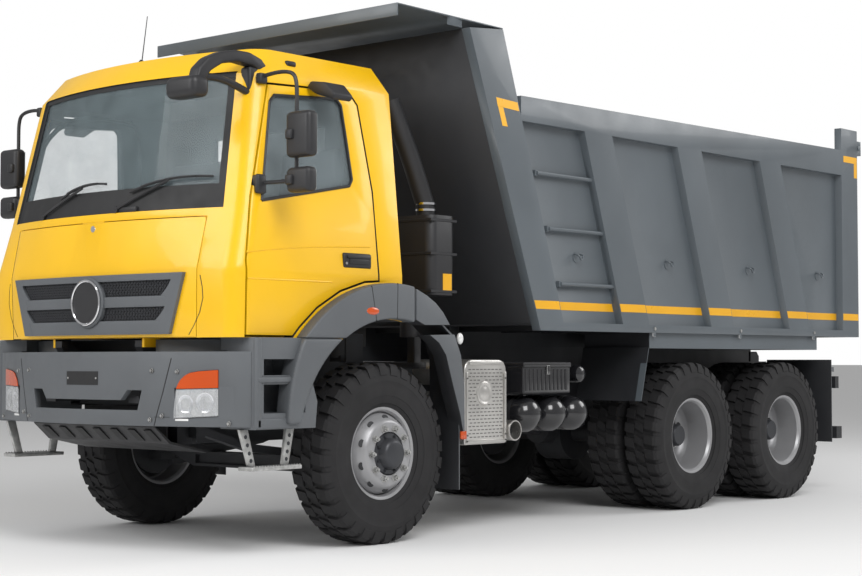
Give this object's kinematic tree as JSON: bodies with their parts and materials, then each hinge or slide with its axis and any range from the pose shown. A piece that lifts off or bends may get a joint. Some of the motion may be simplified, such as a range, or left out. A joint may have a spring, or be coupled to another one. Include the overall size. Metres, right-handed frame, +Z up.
{
  "type": "dump truck",
  "caption": "Tipper truck with a tilting cab, opening doors, steered front wheels, twin rear wheels, a telescopic cylinder and a tipping steel body with a hanging tailgate.",
  "frame": {"origin": "on the ground below the middle of the truck", "axes": "+X forward, +Y left, +Z up"},
  "size_m": [7.338, 2.88, 3.27],
  "materials": {
    "yellow_paint": "gloss",
    "grey_plastic": "satin",
    "black_plastic": "matt",
    "glass": "polished",
    "frame_grey": "satin",
    "cast_grey": "painted",
    "spring_steel": "satin",
    "lamp_clear": "polished",
    "lamp_orange": "polished",
    "bright_steel": "brushed",
    "bright_aluminium": "brushed",
    "black_paint": "satin",
    "seat_fabric": "woven",
    "wheel_silver": "satin",
    "tyre": "matt",
    "body_grey": "satin"
  },
  "bodies": {
    "chassis": {"chassis_frame": "frame_grey", "engine_and_radiator": "cast_grey", "driveline": "cast_grey", "front_axle_beam": "cast_grey", "leaf_springs": "spring_steel", "rear_axles": "cast_grey", "bumper": "grey_plastic", "headlamps": "lamp_clear", "indicators": "lamp_orange", "skid_plate": "black_plastic", "mudguards": "black_plastic", "air_cleaner": "black_plastic", "exhaust_box": "bright_steel", "battery_box_and_air_tanks": "black_paint", "fuel_tank": "bright_aluminium", "rear_bar": "black_paint", "hanging_steps": "bright_steel"},
    "cab": {"cab_shell": "yellow_paint", "cab_glass": "glass", "dashboard_and_seat_bases": "black_plastic", "steering_wheel": "black_plastic", "seat_cushions": "seat_fabric", "fenders": "grey_plastic", "front_mirror": "black_plastic"},
    "front_flap": {"front_flap": "yellow_paint", "grille": "grey_plastic", "grille_mesh": "black_plastic"},
    "door_left": {"door_left": "yellow_paint", "door_glass_left": "glass", "mirrors_left": "black_plastic"},
    "door_right": {"door_right": "yellow_paint", "door_glass_right": "glass", "mirrors_right": "black_plastic"},
    "knuckle_left": {"knuckle_left": "cast_grey"},
    "knuckle_right": {"knuckle_right": "cast_grey"},
    "tie_rod": {"tie_rod": "cast_grey"},
    "wheel_front_left": {"front_wheel_left": "wheel_silver", "front_tyre_left": "tyre"},
    "wheel_front_right": {"front_wheel_right": "wheel_silver", "front_tyre_right": "tyre"},
    "bed": {"bed_floor": "body_grey", "bed_sides": "body_grey", "bulkhead": "body_grey", "canopy": "body_grey", "bed_aprons": "body_grey"},
    "tailgate": {"tailgate": "body_grey"},
    "barrel": {"cylinder_barrel": "black_paint"},
    "stage_one": {"cylinder_stage_one": "bright_steel"},
    "stage_two": {"cylinder_stage_two": "bright_steel"},
    "stage_three": {"cylinder_stage_three": "bright_steel"},
    "wheels_first_rear_left": {"first_rear_wheels_left": "wheel_silver", "first_rear_tyres_left": "tyre"},
    "wheels_first_rear_right": {"first_rear_wheels_right": "wheel_silver", "first_rear_tyres_right": "tyre"},
    "wheels_second_rear_left": {"second_rear_wheels_left": "wheel_silver", "second_rear_tyres_left": "tyre"},
    "wheels_second_rear_right": {"second_rear_wheels_right": "wheel_silver", "second_rear_tyres_right": "tyre"}
  },
  "joints": [
    {"name": "steer_left", "type": "hinge", "parent": "chassis", "child": "knuckle_left", "pos_m": [2.229, 0.89, 0.53953], "axis": [0, 0, 1], "range_deg": [-35, 35]},
    {"name": "spin_front_left", "type": "hinge", "parent": "knuckle_left", "child": "wheel_front_left", "pos_m": [2.229, 1, 0.53953], "axis": [0, 1, 0], "continuous": true},
    {"name": "spin_first_rear_left", "type": "hinge", "parent": "chassis", "child": "wheels_first_rear_left", "pos_m": [-1.071, 0.908, 0.53953], "axis": [0, 1, 0], "continuous": true},
    {"name": "spin_second_rear_left", "type": "hinge", "parent": "chassis", "child": "wheels_second_rear_left", "pos_m": [-2.421, 0.908, 0.53953], "axis": [0, 1, 0], "continuous": true},
    {"name": "steer_right", "type": "hinge", "parent": "chassis", "child": "knuckle_right", "pos_m": [2.229, -0.89, 0.53953], "axis": [0, 0, 1], "range_deg": [-35, 35]},
    {"name": "spin_front_right", "type": "hinge", "parent": "knuckle_right", "child": "wheel_front_right", "pos_m": [2.229, -1, 0.53953], "axis": [0, 1, 0], "continuous": true},
    {"name": "spin_first_rear_right", "type": "hinge", "parent": "chassis", "child": "wheels_first_rear_right", "pos_m": [-1.071, -0.908, 0.53953], "axis": [0, 1, 0], "continuous": true},
    {"name": "spin_second_rear_right", "type": "hinge", "parent": "chassis", "child": "wheels_second_rear_right", "pos_m": [-2.421, -0.908, 0.53953], "axis": [0, 1, 0], "continuous": true},
    {"name": "tie_rod_shift", "type": "slide", "parent": "chassis", "child": "tie_rod", "axis": [0, 1, 0], "range_m": [-0.1, 0.1]},
    {"name": "cab_tilt", "type": "hinge", "parent": "chassis", "child": "cab", "pos_m": [3.464, 0, 1.19], "axis": [0, 1, 0], "range_deg": [0, 50]},
    {"name": "flap_lift", "type": "hinge", "parent": "cab", "child": "front_flap", "pos_m": [3.5205, 0, 1.8969], "axis": [0, -1, 0], "range_deg": [0, 80]},
    {"name": "door_left_swing", "type": "hinge", "parent": "cab", "child": "door_left", "pos_m": [3.347, 1.132, 1.6], "axis": [0, 0, -1], "range_deg": [0, 72]},
    {"name": "door_right_swing", "type": "hinge", "parent": "cab", "child": "door_right", "pos_m": [3.347, -1.132, 1.6], "axis": [0, 0, 1], "range_deg": [0, 72]},
    {"name": "bed_tip", "type": "hinge", "parent": "chassis", "child": "bed", "pos_m": [-3.271, 0, 1.12], "axis": [0, -1, 0], "range_deg": [0, 50]},
    {"name": "tailgate_swing", "type": "hinge", "parent": "bed", "child": "tailgate", "pos_m": [-3.629, 0, 2.9], "axis": [0, 1, 0], "range_deg": [0, 60]},
    {"name": "barrel_swing", "type": "hinge", "parent": "chassis", "child": "barrel", "pos_m": [1.479, 0, 1.05], "axis": [0, -1, 0], "range_deg": [0, 32]},
    {"name": "stage_one_slide", "type": "slide", "parent": "barrel", "child": "stage_one", "axis": [0, 0, 1], "range_m": [0, 1.305]},
    {"name": "stage_two_slide", "type": "slide", "parent": "stage_one", "child": "stage_two", "axis": [0, 0, 1], "range_m": [0, 1.305]},
    {"name": "stage_three_slide", "type": "slide", "parent": "stage_two", "child": "stage_three", "axis": [0, 0, 1], "range_m": [0, 1.305]}
  ],
  "couplings": [
    {"joint": "steer_right", "follows": "steer_left", "ratio": 1},
    {"joint": "tie_rod_shift", "follows": "steer_left", "m_per_rad": -0.15},
    {"joint": "barrel_swing", "follows": "bed_tip", "ratio": 0.6322},
    {"joint": "stage_one_slide", "follows": "bed_tip", "m_per_rad": 1.4887},
    {"joint": "stage_two_slide", "follows": "bed_tip", "m_per_rad": 1.4887},
    {"joint": "stage_three_slide", "follows": "bed_tip", "m_per_rad": 1.4887}
  ]
}
